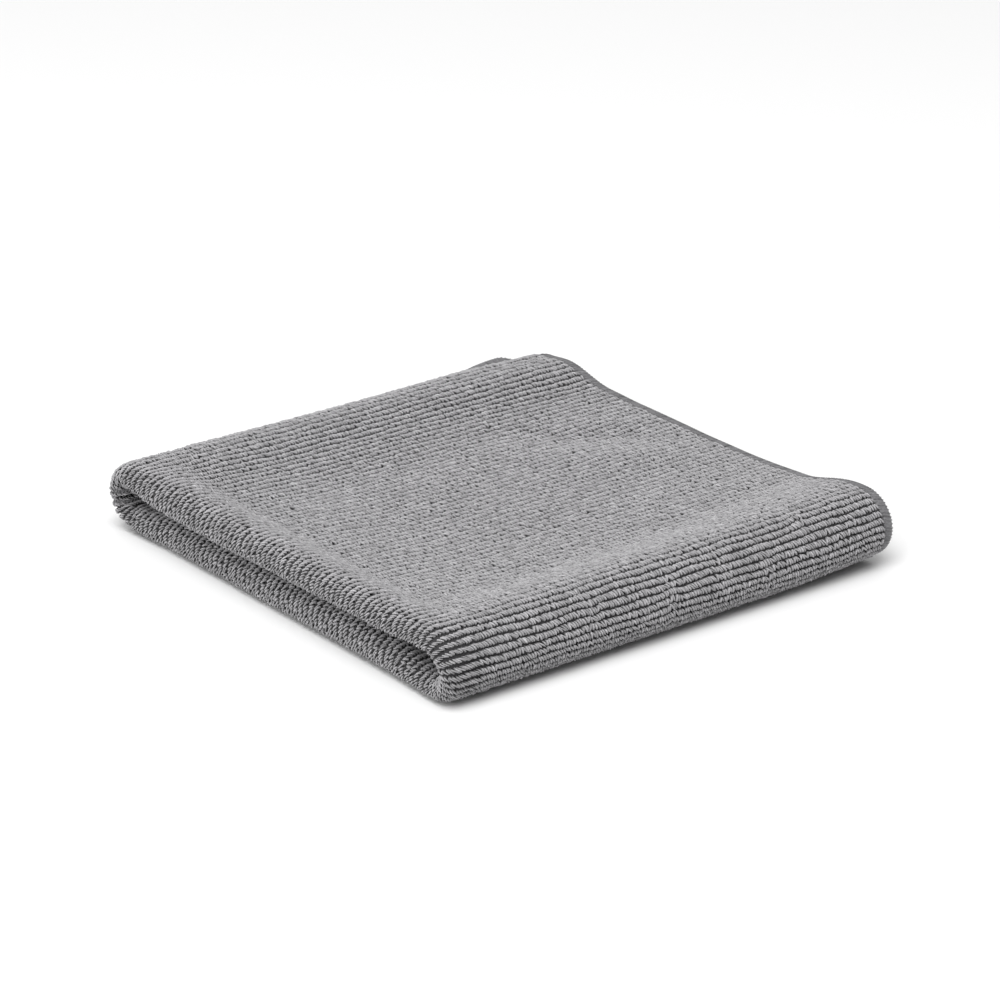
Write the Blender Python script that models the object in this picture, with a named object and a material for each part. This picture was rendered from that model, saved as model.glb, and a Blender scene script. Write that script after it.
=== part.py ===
"""Ribbed microfibre cloth, folded in half twice into a square pack of four layers.

Run with:  blender --background --python part.py

The square cloth is one sheet. The first fold lays it double, with the crease along
the pack's left side (-X) and the hemmed edges along the right side (+X). The doubled
strip is then turned back on itself round the front (-Y), so that its two hemmed ends
meet at the back (+Y): the upper end drapes down over the lower one, which curls up.

Every point of the cloth has two coordinates: "along", the distance over the section
of the doubled strip from its upper free end to its lower one, and "out", the distance
from the crease, counted negative on the inner layer and positive on the outer one.
Sizes are in metres, +Z is up and the origin is under the middle of the pack.
"""

import math

import bmesh
import bpy
import numpy as np

# The flat cloth
CLOTH_SIDE = 0.400
RIB_COUNT = 148
RIB_PITCH = CLOTH_SIDE / RIB_COUNT
RIB_DEPTH = 0.0009
PILE_THICKNESS = 0.0036
HEM_WIDTH = 0.0045
HEM_STEP = 0.0008
HEM_THICKNESS = 0.0020

# The pack that it is folded into
ROLL_HEIGHT = 0.0278
MIDDLE_HEIGHT = 0.0214
RUN_HALF = 0.087
TURN_REACH = 0.0102
CREASE_X = -0.0964
NOSE_DEPTH = 0.0048
NOSE_ARC = 0.0073
LAYER_OFFSET = 0.00285
PACK_CENTRE_X = 0.0012
PACK_CENTRE_Y = 0.0045

# Its hemmed side: the far corner's roll lies lower, and the right corner lifts a little.
# Places over which the change comes in
HEM_SIDE_X = (0.000, 0.100)
CORNER_X = (0.052, 0.100)
FAR_ROLL_DROP = 0.0015
FAR_CORNER_Y = (0.072, 0.090)
RIGHT_CORNER_LIFT = 0.0020
RIGHT_CORNER_Y = (0.050, RUN_HALF)

# Where the doubled strip changes direction: cloth used by the drape of its upper end,
# the turn round the front and the curl of its lower end, the rest by its two flat runs
DRAPE_END = 0.0190
TURN_CLOTH = 0.0375
CURL_CLOTH = 0.0150
RUN_CLOTH = (CLOTH_SIDE - DRAPE_END - TURN_CLOTH - CURL_CLOTH) / 2
TURN_START = DRAPE_END + RUN_CLOTH
TURN_END = TURN_START + TURN_CLOTH
CURL_START = TURN_END + RUN_CLOTH

# The free ends: length of the strip's middle and how far it turns, near the crease
# and at the hemmed corner. The upper end bends down and then flares back out. Near the
# crease both ends bulge out by a share more than a circle does
DRAPE_LENGTH_NEAR = 0.0116
DRAPE_LENGTH_FAR = 0.0090
DRAPE_ANGLE_NEAR = math.radians(92)
DRAPE_ANGLE_FAR = math.radians(42)
DRAPE_CHANGE_X = (-0.020, 0.080)
FLARE_LENGTH_NEAR = 0.0018
FLARE_LENGTH_FAR = 0.0150
FLARE_ANGLE_NEAR = math.radians(2)
FLARE_ANGLE_FAR = math.radians(88)
FLARE_CHANGE_X = (0.018, 0.090)
CURL_LENGTH_NEAR = 0.0143
CURL_LENGTH_FAR = 0.0126
CURL_ANGLE_NEAR = math.radians(100)
CURL_ANGLE_FAR = math.radians(20)
CURL_CHANGE_X = (-0.090, -0.010)
END_BULGE = 0.10

# The rolls round the sunken middle. Each falls in two stages, a short steep one and a
# long gentle one: share of the steep stage, and the distances at which each begins and
# ends, in from the crease or from the strip's turns
ROLL_FALLS = {
    "crease": (0.60, 0.006, 0.021, 0.012, 0.060),
    "front": (0.62, 0.000, 0.022, 0.008, 0.050),
    "front_hem": (0.62, 0.002, 0.030, 0.011, 0.068),
    "back": (0.35, 0.000, 0.024, 0.004, 0.050),
    "back_hem": (0.75, 0.005, 0.032, 0.008, 0.050),
}
PUFF_START = 0.007
PUFF_END = 0.026

# The inner layer buckles into the hollow of the turn
BUCKLE_DEPTH = 0.0024
BUCKLE_START = 0.0030
BUCKLE_END = 0.0150
BUCKLE_FADE = 0.0600

# The crease: distance along the strip, half the height between the middles of its two
# puffed layers, and how far it is set back under the upper roll
CREASE_PUFF = (
    (0.0000, 0.0022, 0.0000),
    (0.0190, 0.0034, 0.0000),
    (0.0340, 0.0046, 0.0000),
    (0.0700, 0.0044, 0.0000),
    (0.1000, 0.0039, 0.0000),
    (0.1550, 0.0035, 0.0000),
    (0.1832, 0.0030, 0.0008),
    (0.2208, 0.0030, 0.0040),
    (0.2460, 0.0050, 0.0044),
    (0.2700, 0.0054, 0.0044),
    (0.3300, 0.0048, 0.0044),
    (0.3650, 0.0044, 0.0044),
    (0.3850, 0.0034, 0.0036),
    (0.4000, 0.0022, 0.0012),
)

# Soft dents (negative) and swells of the top:
# x, y, length, width, turn in degrees, depth
SOFT_CREASES = (
    (0.066, 0.020, 0.030, 0.009, -35, -0.0010),
    (0.058, 0.000, 0.034, 0.012, -35, 0.0006),
    (-0.074, 0.000, 0.080, 0.007, 90, -0.0005),
    (0.010, -0.062, 0.080, 0.008, 0, -0.0005),
    (0.020, 0.040, 0.050, 0.022, 20, 0.0004),
    (-0.080, 0.078, 0.045, 0.030, 0, 0.0009),
    (0.095, -0.083, 0.040, 0.022, 0, 0.0011),
)

# How the layers' hemmed edges slip past one another: distance along the strip,
# reach of the outer layer's edge, reach of the inner layer's edge, both along X
EDGE_REACH = (
    (0.000, 0.0915, 0.0925),
    (0.012, 0.0982, 0.0976),
    (0.060, 0.1006, 0.0985),
    (0.150, 0.1000, 0.0975),
    (0.200, 0.1006, 0.0968),
    (0.260, 0.0998, 0.0974),
    (0.340, 0.0990, 0.0980),
    (0.388, 0.0994, 0.0974),
    (0.400, 0.0935, 0.0920),
)

# The mesh: distances out from the crease of the rows on each face
OUTER_FACE_ROWS = (
    0.0100, 0.0150, 0.0210, 0.0280, 0.0380, 0.0800, 0.1250, 0.1500, 0.1680, 0.1850
)
HIDDEN_FACE_ROWS = (0.0150, 0.0270, 0.0420, 0.0900, 0.1300, 0.1550, 0.1750)
NOSE_STEPS_OUTSIDE = 3
NOSE_STEPS_INSIDE = 2

# Columns skipped on the smooth faces: start and end along the strip, ribs a step
COLUMN_ZONES = (
    (0.0000, 0.0150, 1),
    (0.0150, 0.0450, 2),
    (0.0450, 0.1580, 6),
    (0.1580, 0.1860, 2),
    (0.1860, 0.2150, 1),
    (0.2150, 0.2450, 2),
    (0.2450, 0.3580, 6),
    (0.3580, 0.3860, 2),
    (0.3860, 0.4001, 1),
)

CLOTH_GREY = (0.30, 0.30, 0.305, 1.0)


def ease(value, start, end):
    """Rise smoothly from 0 at start to 1 at end."""
    t = np.clip((value - start) / (end - start), 0.0, 1.0)
    return t * t * (3.0 - 2.0 * t)


def table_column(table, column, position):
    """Read one column of a table at a position, with an eased change between rows."""
    rows = np.array(table)
    last = len(rows) - 2
    row = np.clip(np.searchsorted(rows[:, 0], position, side="right") - 1, 0, last)
    share = ease(position, rows[row, 0], rows[row + 1, 0])
    return rows[row, column] * (1.0 - share) + rows[row + 1, column] * share


def soft_creases(x, y):
    """Sum of the long rounded dents and swells of the top at a place."""
    total = np.zeros(np.broadcast(x, y).shape)
    for centre_x, centre_y, length, width, turn, depth in SOFT_CREASES:
        angle = math.radians(turn)
        dx = x - centre_x
        dy = y - centre_y
        lengthwise = (dx * math.cos(angle) + dy * math.sin(angle)) / length
        crosswise = (dy * math.cos(angle) - dx * math.sin(angle)) / width
        total = total + depth * np.exp(-(lengthwise ** 2) - crosswise ** 2)
    return total


def roll_fall(name, distance):
    """Fall from a roll's crest, 0 to 1, at a distance in from it."""
    steep_share, steep_start, steep_end, gentle_start, gentle_end = ROLL_FALLS[name]
    steep = steep_share * ease(distance, steep_start, steep_end)
    return steep + (1.0 - steep_share) * ease(distance, gentle_start, gentle_end)


def top_height(x, y):
    """Height of the pack's top: a sunken middle inside rolls on three sides."""
    far = ease(x, *HEM_SIDE_X)
    crease_fall = roll_fall("crease", x - CREASE_X)
    front_near = roll_fall("front", y + RUN_HALF)
    front_fall = front_near + (roll_fall("front_hem", y + RUN_HALF) - front_near) * far
    back_near = roll_fall("back", RUN_HALF - y)
    back_fall = back_near + (roll_fall("back_hem", RUN_HALF - y) - back_near) * far
    flatness = crease_fall * front_fall * back_fall
    crest = ROLL_HEIGHT - FAR_ROLL_DROP * ease(x, *CORNER_X) * ease(y, *FAR_CORNER_Y)
    return crest + (MIDDLE_HEIGHT - crest) * flatness + soft_creases(x, y)


def layer_offset(along, x):
    """Distance from the strip's middle to the middle of either layer, at full spread."""
    puffed = 1.0 - ease(x - CREASE_X, PUFF_START, PUFF_END)
    puff = table_column(CREASE_PUFF, 1, along)
    return LAYER_OFFSET + (puff - LAYER_OFFSET) * puffed


def upper_run_height(along, x, y):
    """Height of the upper run's middle, under its own outer layer."""
    return top_height(x, y) - layer_offset(along, x) - PILE_THICKNESS / 2


def lower_run_height(along, x, y):
    """Height of the lower run's middle: its outer layer lies flat but for one corner."""
    lift = RIGHT_CORNER_LIFT * ease(x, *CORNER_X) * ease(-y, *RIGHT_CORNER_Y)
    return layer_offset(along, x) + PILE_THICKNESS / 2 + lift


def arc_end(length, angle, share):
    """Forward and sideways travel over a share of an arc of a given turn."""
    forward = length * np.sin(angle * share) / angle
    sideways = length * (1.0 - np.cos(angle * share)) / angle
    return forward, sideways


def drape_fall(along, x):
    """Travel outward and down of the upper free end: an arc down, then one back out."""
    bend = ease(x, *DRAPE_CHANGE_X)
    drape_angle = DRAPE_ANGLE_NEAR + (DRAPE_ANGLE_FAR - DRAPE_ANGLE_NEAR) * bend
    drape_length = DRAPE_LENGTH_NEAR + (DRAPE_LENGTH_FAR - DRAPE_LENGTH_NEAR) * bend
    flare = ease(x, *FLARE_CHANGE_X)
    flare_angle = FLARE_ANGLE_NEAR + (FLARE_ANGLE_FAR - FLARE_ANGLE_NEAR) * flare
    flare_length = FLARE_LENGTH_NEAR + (FLARE_LENGTH_FAR - FLARE_LENGTH_NEAR) * flare
    travel = np.clip(1.0 - along / DRAPE_END, 0.0, 1.0) * (drape_length + flare_length)
    drape_share = np.clip(travel / drape_length, 0.0, 1.0)
    flare_share = np.clip((travel - drape_length) / flare_length, 0.0, 1.0)
    out, down = arc_end(drape_length, drape_angle, drape_share)
    ahead, aside = arc_end(flare_length, flare_angle, flare_share)
    out = out + ahead * np.cos(drape_angle) + aside * np.sin(drape_angle)
    down = down + ahead * np.sin(drape_angle) - aside * np.cos(drape_angle)
    return out * (1.0 + END_BULGE * (1.0 - bend)), down


def strip_middle(along, x):
    """Place (y, z) of the doubled strip's middle, a flattened loop open at the back."""
    drape_out, drape_down = drape_fall(along, x)
    upper_share = np.clip((along - DRAPE_END) / RUN_CLOTH, 0.0, 1.0)
    upper_y = RUN_HALF * (1.0 - 2.0 * upper_share)
    upper_z = upper_run_height(along, x, upper_y) - drape_down

    turn_share = np.clip((along - TURN_START) / TURN_CLOTH, 0.0, 1.0)
    turn_top = upper_run_height(TURN_START, x, -RUN_HALF)
    turn_bottom = lower_run_height(TURN_END, x, -RUN_HALF)
    turn_y = -RUN_HALF - TURN_REACH * np.sin(math.pi * turn_share)
    turn_swing = (turn_top - turn_bottom) / 2 * np.cos(math.pi * turn_share)
    turn_z = (turn_top + turn_bottom) / 2 + turn_swing

    curl_share = np.clip((along - CURL_START) / CURL_CLOTH, 0.0, 1.0)
    curl_change = ease(x, *CURL_CHANGE_X)
    curl_angle = CURL_ANGLE_NEAR + (CURL_ANGLE_FAR - CURL_ANGLE_NEAR) * curl_change
    curl_length = CURL_LENGTH_NEAR + (CURL_LENGTH_FAR - CURL_LENGTH_NEAR) * curl_change
    curl_out, curl_up = arc_end(curl_length, curl_angle, curl_share)
    curl_out = curl_out * (1.0 + END_BULGE * (1.0 - curl_change))
    lower_share = np.clip((along - TURN_END) / RUN_CLOTH, 0.0, 1.0)
    lower_y = RUN_HALF * (2.0 * lower_share - 1.0)
    lower_z = lower_run_height(along, x, lower_y) + curl_up

    on_upper = along < TURN_START
    on_lower = along > TURN_END
    y = np.where(on_upper, upper_y + drape_out, np.where(on_lower, lower_y + curl_out, turn_y))
    z = np.where(on_upper, upper_z, np.where(on_lower, lower_z, turn_z))
    return y, z


def crease_profile(along, out):
    """Place along X, and the share of the full spread, of a distance out of the crease."""
    reach = np.abs(out)
    angle = np.clip(reach / NOSE_ARC, 0.0, 1.0) * (math.pi / 2)
    outer_edge = table_column(EDGE_REACH, 1, along)
    inner_edge = table_column(EDGE_REACH, 2, along)
    edge = np.where(out >= 0.0, outer_edge, inner_edge)
    flat_share = np.clip((reach - NOSE_ARC) / (CLOTH_SIDE / 2 - NOSE_ARC), 0.0, 1.0)
    crease = CREASE_X + table_column(CREASE_PUFF, 2, along)
    flat_length = edge - crease - NOSE_DEPTH
    x = crease + NOSE_DEPTH * (1.0 - np.cos(angle)) + flat_length * flat_share
    return x, np.sin(angle) * np.sign(out)


def turn_buckle(along, out):
    """Depth of the inner layer's buckle into the hollow of the turn."""
    share = np.clip((along - TURN_START) / TURN_CLOTH, 0.0, 1.0)
    inner = ease(-out, BUCKLE_START, BUCKLE_END) * (1.0 - ease(-out, BUCKLE_END, BUCKLE_FADE))
    return BUCKLE_DEPTH * np.sin(math.pi * share) ** 2 * inner


def middle_point(along, out):
    """Point of the cloth's middle surface: the strip's middle, moved along its normal."""
    x, spread = crease_profile(along, out)
    step = 0.00002
    y, z = strip_middle(along, x)
    y_before, z_before = strip_middle(np.clip(along - step, 0.0, CLOTH_SIDE), x)
    y_after, z_after = strip_middle(np.clip(along + step, 0.0, CLOTH_SIDE), x)
    tangent = np.stack([y_after - y_before, z_after - z_before])
    tangent = tangent / np.linalg.norm(tangent, axis=0)
    offset = layer_offset(along, x) * spread - turn_buckle(along, out)
    place_y = y + tangent[1] * offset - PACK_CENTRE_Y
    place_z = z - tangent[0] * offset
    return np.stack([x - PACK_CENTRE_X, place_y, place_z], axis=-1)


def outward_normal(along, out):
    """Unit normal of the middle surface, out of the pack on the outer layer."""
    step = 0.0002
    half = CLOTH_SIDE / 2
    over = middle_point(np.clip(along + step, 0.0, CLOTH_SIDE), out)
    over = over - middle_point(np.clip(along - step, 0.0, CLOTH_SIDE), out)
    outwards = middle_point(along, np.clip(out + step, -half, half))
    outwards = outwards - middle_point(along, np.clip(out - step, -half, half))
    normal = np.cross(over, outwards)
    return normal / np.linalg.norm(normal, axis=-1, keepdims=True)


def half_thickness(along, out):
    """Half of the cloth's thickness: full pile, stepped down to the hem at every edge."""
    from_edge = np.minimum(CLOTH_SIDE / 2 - np.abs(out), np.minimum(along, CLOTH_SIDE - along))
    pile = ease(from_edge, HEM_WIDTH - HEM_STEP, HEM_WIDTH)
    return (HEM_THICKNESS + (PILE_THICKNESS - HEM_THICKNESS) * pile) / 2


def rib_groove(along, out):
    """Depth of the groove beside a rib: none on the hem, nor where the pack lies flat."""
    from_edge = np.minimum(CLOTH_SIDE / 2 - np.abs(out), np.minimum(along, CLOTH_SIDE - along))
    on_pile = np.where(from_edge > HEM_WIDTH - HEM_STEP / 2, 1.0, 0.0)
    wave = 0.5 - 0.5 * np.cos(2 * math.pi * along / RIB_PITCH)
    pressed = (along > TURN_END) & (along < CURL_START) & (out > 1.01 * NOSE_ARC)
    return RIB_DEPTH * wave * on_pile * np.where(pressed, 0.0, 1.0)


def face_point(along, out, side):
    """Point on a face of the cloth: side +1 is the face that shows, -1 its back."""
    depth = half_thickness(along, out)
    if side > 0:
        depth = depth - rib_groove(along, out)
    return middle_point(along, out) + side * depth[..., None] * outward_normal(along, out)


def rib_columns(start, end):
    """Places along the strip of every ridge and groove between two distances."""
    places = np.arange(2 * RIB_COUNT + 1) * RIB_PITCH / 2
    return places[(places >= start - 1e-6) & (places <= end + 1e-6)]


def plain_columns(start, end):
    """Sparse places along the strip between two distances, close together at its bends."""
    places = []
    for zone_start, zone_end, ribs in COLUMN_ZONES:
        zone = rib_columns(zone_start, zone_end)[::2 * ribs]
        places.extend(zone[zone < zone_end - RIB_PITCH / 2])
    places.append(CLOTH_SIDE)
    places = np.array(places)
    return places[(places >= start - 1e-6) & (places <= end + 1e-6)]


def row_columns(out, side):
    """Places of a row's points: at every rib where ribs show, and sparse elsewhere."""
    on_hem = abs(out) > CLOTH_SIDE / 2 - HEM_WIDTH + HEM_STEP / 2
    if side < 0 or on_hem or out < -1.01 * NOSE_ARC:
        return plain_columns(0.0, CLOTH_SIDE)
    if out < 1.01 * NOSE_ARC:
        return rib_columns(0.0, CLOTH_SIDE)
    under_start = TURN_END + 2 * RIB_PITCH
    under_end = CURL_START - 2 * RIB_PITCH
    shown = rib_columns(0.0, under_start)
    under = plain_columns(under_start + RIB_PITCH, under_end - RIB_PITCH)
    return np.concatenate([shown, under, rib_columns(under_end, CLOTH_SIDE)])


def row_places(side):
    """Distances out from the crease of one face's rows, from hem to hem."""
    steps = NOSE_STEPS_OUTSIDE if side > 0 else NOSE_STEPS_INSIDE
    nose = [NOSE_ARC * step / steps for step in range(1, steps + 1)]
    half = CLOTH_SIDE / 2
    hem = [half - HEM_WIDTH, half - HEM_WIDTH + HEM_STEP, half]
    outer = OUTER_FACE_ROWS if side > 0 else HIDDEN_FACE_ROWS
    positive = nose + list(outer) + hem
    negative = nose + list(HIDDEN_FACE_ROWS) + hem
    return [-place for place in reversed(negative)] + [0.0] + positive


def stitch(first, second, flipped):
    """Triangles between two rows of (place, vertex), whatever the number of each."""
    triangles = []
    i = 0
    j = 0
    while i < len(first) - 1 or j < len(second) - 1:
        second_done = j == len(second) - 1
        first_is_next = i < len(first) - 1 and (
            second_done or first[i + 1][0] + first[i][0] <= second[j + 1][0] + second[j][0]
        )
        if first_is_next:
            triangle = (first[i][1], first[i + 1][1], second[j][1])
            i += 1
        else:
            triangle = (first[i][1], second[j + 1][1], second[j][1])
            j += 1
        triangles.append(triangle[::-1] if flipped else triangle)
    return triangles


def build_face(side, points, triangles):
    """Add one face of the cloth, row by row, and return its rows of (place, vertex)."""
    rows = []
    for out in row_places(side):
        columns = row_columns(out, side)
        first_vertex = len(points)
        points.extend(face_point(columns, np.full(columns.shape, out), side))
        row = [(place, first_vertex + i) for i, place in enumerate(columns)]
        rows.append((out, row))
    for (_, row), (_, next_row) in zip(rows, rows[1:]):
        triangles.extend(stitch(row, next_row, flipped=side < 0))
    return rows


def close_edges(shown, back, triangles):
    """Join the two faces along the cloth's four hemmed edges."""
    triangles.extend(stitch(shown[0][1], back[0][1], flipped=True))
    triangles.extend(stitch(shown[-1][1], back[-1][1], flipped=False))
    for end, flipped in ((0, False), (-1, True)):
        shown_end = [(out, row[end][1]) for out, row in shown]
        back_end = [(out, row[end][1]) for out, row in back]
        triangles.extend(stitch(shown_end, back_end, flipped))


def cloth_material():
    """Matt grey microfibre."""
    material = bpy.data.materials.new("grey_microfibre")
    material.use_nodes = True
    shader = material.node_tree.nodes["Principled BSDF"]
    shader.inputs["Base Color"].default_value = CLOTH_GREY
    shader.inputs["Roughness"].default_value = 0.95
    shader.inputs["Metallic"].default_value = 0.0
    return material


def build_cloth():
    """Make the folded cloth as one closed solid."""
    points = []
    triangles = []
    shown = build_face(1, points, triangles)
    back = build_face(-1, points, triangles)
    close_edges(shown, back, triangles)

    mesh = bpy.data.meshes.new("cloth")
    mesh.from_pydata([tuple(point) for point in points], [], triangles)
    solid = bmesh.new()
    solid.from_mesh(mesh)
    bmesh.ops.recalc_face_normals(solid, faces=solid.faces)
    solid.to_mesh(mesh)
    solid.free()
    mesh.materials.append(cloth_material())

    cloth = bpy.data.objects.new("cloth", mesh)
    bpy.context.scene.collection.objects.link(cloth)
    return cloth


def main():
    """Clear the scene and build the part."""
    for item in list(bpy.data.objects):
        bpy.data.objects.remove(item, do_unlink=True)
    build_cloth()


main()
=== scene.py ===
"""Grey ribbed microfibre cloth, folded into a square pack and lying on a pale floor.

The cloth is one thin ground sheet in its folds. It carries rows of loops of pile, the
ribs, and an overlocked hem along its four edges.

Every point of the cloth has two coordinates, in metres: "along", the distance over the
section of the doubled strip, from its upper free end to its lower one, and "out", the
distance from the long crease, negative on the inner layer and positive on the outer one.
Ribs run the way of "out". +Z is up, and the origin is under the middle of the pack.
"""

import logging
import math
from dataclasses import dataclass
from enum import Enum

import bpy
import numpy as np
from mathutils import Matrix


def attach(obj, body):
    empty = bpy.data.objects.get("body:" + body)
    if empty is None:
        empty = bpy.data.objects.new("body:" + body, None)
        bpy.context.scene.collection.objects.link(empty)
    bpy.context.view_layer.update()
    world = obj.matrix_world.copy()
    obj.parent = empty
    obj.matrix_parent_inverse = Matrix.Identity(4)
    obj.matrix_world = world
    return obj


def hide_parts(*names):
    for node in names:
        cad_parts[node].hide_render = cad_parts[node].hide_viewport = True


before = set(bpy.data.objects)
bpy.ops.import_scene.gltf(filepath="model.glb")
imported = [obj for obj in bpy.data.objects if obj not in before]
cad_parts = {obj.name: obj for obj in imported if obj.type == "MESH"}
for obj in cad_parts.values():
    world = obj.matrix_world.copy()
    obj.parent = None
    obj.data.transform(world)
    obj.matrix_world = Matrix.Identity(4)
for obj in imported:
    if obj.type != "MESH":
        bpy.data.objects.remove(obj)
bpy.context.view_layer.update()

LOG = logging.getLogger("cloth")
NODE = "cloth"

# a start and an end, a row of numbers of any length, and several arrays
Pair = tuple[float, float]
Numbers = tuple[float, ...]
Arrays = tuple[np.ndarray, ...]


class Slot(Enum):
    """Material slots of the record."""

    PILE = "grey_microfibre"
    HEM = "hem_thread"


class PointValue(Enum):
    """Values that the pieces' meshes hold at their points, for the finishes."""

    # root and aside are the masks of the pile's painted shade, at the loops' roots and at the
    # sides of their strands
    ROOT = "root"
    ASIDE = "aside"
    TINT = "tint"


class Maths(Enum):
    """What a Math node works out."""

    ADD = "ADD"
    SUBTRACT = "SUBTRACT"
    MULTIPLY = "MULTIPLY"
    MULTIPLY_ADD = "MULTIPLY_ADD"


def portion(value: np.ndarray, start: float, length: float) -> np.ndarray:
    """Share of a stretch that lies before a value: (value - start) / length, in 0..1."""
    return np.clip((value - start) / length, 0.0, 1.0)


def ease(value: np.ndarray, start: float, end: float) -> np.ndarray:
    """Rise smoothly from 0 at start to 1 at end: 3t^2 - 2t^3, with t clipped to 0..1."""
    t = portion(value, start, end - start)
    return t * t * (3.0 - 2.0 * t)


def between(ends: Pair, share: np.ndarray) -> np.ndarray:
    """Value between two ends at a share of the way: first + (last - first) * share."""
    return ends[0] + (ends[1] - ends[0]) * share


def unit(vectors: np.ndarray) -> np.ndarray:
    """Scale vectors to a length of 1: v / |v|."""
    return vectors / np.linalg.norm(vectors, axis=-1, keepdims=True)


def arc_travel(length: np.ndarray, angle: np.ndarray, share: np.ndarray) -> Arrays:
    """Travel over a share of an arc.

    Ahead it is length * sin(angle * share) / angle, and aside it is
    length * (1 - cos(angle * share)) / angle.

    Args:
        length: length of the whole arc.
        angle: angle that the whole arc turns through, in radians.
        share: share of the arc that is travelled.

    Returns:
        Arrays of the travel ahead and aside.
    """
    ahead = length * np.sin(angle * share) / angle
    aside = length * (1.0 - np.cos(angle * share)) / angle
    return ahead, aside


def above_floor(points: np.ndarray) -> np.ndarray:
    """Raise the points that would be under the floor onto it: z = max(z, 0)."""
    points[..., 2] = np.maximum(points[..., 2], 0.0)
    return points


@dataclass(frozen=True)
class FlatCloth:
    """The cloth as it was cut and hemmed.

    Attributes:
        side: length of its sides.
        rib_count: ribs from one edge to the other.
        pile_thickness: thickness of one layer with its pile.
        hem_width: width of the overlocked edge.
        corner_radius: radius of its corners.
    """

    side: float = 0.400
    rib_count: int = 148
    pile_thickness: float = 0.0036
    hem_width: float = 0.0045
    corner_radius: float = 0.0060

    @property
    def half(self) -> float:
        """Half of the cloth's side."""
        return self.side / 2

    @property
    def rib_pitch(self) -> float:
        """Distance between the middles of two ribs."""
        return self.side / self.rib_count


@dataclass
class SurfaceFrames:
    """Places on the folded cloth with their own axes.

    Attributes:
        place: points of the cloth's middle surface.
        normal: unit normals, out of the pack on the outer layer.
        over: travel for each unit of "along".
        outwards: travel for each unit of "out".
        over_turn: how the normal turns for each unit of "along".
        outwards_turn: how the normal turns for each unit of "out".
    """

    place: np.ndarray
    normal: np.ndarray
    over: np.ndarray
    outwards: np.ndarray
    over_turn: np.ndarray
    outwards_turn: np.ndarray

    def point(self, along: np.ndarray, out: np.ndarray, height: np.ndarray) -> np.ndarray:
        """Points a little beside each place, at a height over the curved cloth.

        Each is place + over * a + outwards * b + (normal + over_turn * a
        + outwards_turn * b) * height, so that it follows the cloth round its folds.

        Args:
            along: step a in "along", of shape (places, points).
            out: step b in "out", of the same shape.
            height: height above the middle surface.

        Returns:
            Points of shape (places, points, 3).
        """
        a, b, h = along[..., None], out[..., None], height[..., None]
        normal = self.normal[:, None] + self.over_turn[:, None] * a
        normal = normal + self.outwards_turn[:, None] * b
        place = self.place[:, None] + self.over[:, None] * a + self.outwards[:, None] * b
        return place + normal * h


@dataclass(frozen=True)
class Fall:
    """The top's fall from a roll's crest to the sunken middle, in two eased stages.

    Attributes:
        steep_share: share of the fall that the steep stage makes.
        steep: where the steep stage starts and ends, from the roll.
        gentle: where the gentle stage starts and ends.
    """

    steep_share: float
    steep: Pair
    gentle: Pair

    def at(self, distance: np.ndarray) -> np.ndarray:
        """Share of the fall, 0 to 1: s * ease over steep + (1 - s) * ease over gentle."""
        steep = self.steep_share * ease(distance, *self.steep)
        return steep + (1.0 - self.steep_share) * ease(distance, *self.gentle)


@dataclass(frozen=True)
class SoftCrease:
    """A long soft ridge or dent in the pack's top.

    Attributes:
        x: place of its middle.
        y: place of its middle.
        length: how far it reaches lengthwise.
        width: how far it reaches crosswise.
        degrees: turn of its length from +X.
        height: height of its middle, negative in a dent.
    """

    x: float
    y: float
    length: float
    width: float
    degrees: float
    height: float

    def at(self, x: np.ndarray, y: np.ndarray) -> np.ndarray:
        """Height that it adds: height * exp(-lengthwise^2 - crosswise^2).

        Args:
            x: places across the strip.
            y: places over the strip's run.

        Returns:
            The height at each place.
        """
        angle = math.radians(self.degrees)
        dx = x - self.x
        dy = y - self.y
        lengthwise = (dx * math.cos(angle) + dy * math.sin(angle)) / self.length
        crosswise = (dy * math.cos(angle) - dx * math.sin(angle)) / self.width
        return self.height * np.exp(-(lengthwise**2) - crosswise**2)


@dataclass(frozen=True)
class EndArc:
    """An arc that a free end bends through, which changes across the strip.

    Attributes:
        lengths: the arc's length near the long crease and near the hems.
        degrees: its angle near the long crease and near the hems.
        change_x: where the change from one to the other starts and ends.
    """

    lengths: Pair
    degrees: Pair
    change_x: Pair

    def change(self, x: np.ndarray) -> np.ndarray:
        """Share of the change that is complete at each place across the strip."""
        return ease(x, *self.change_x)

    def size(self, x: np.ndarray) -> Arrays:
        """Length of the arc and its angle in radians, at each place across the strip."""
        share = self.change(x)
        return between(self.lengths, share), np.radians(between(self.degrees, share))


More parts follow.
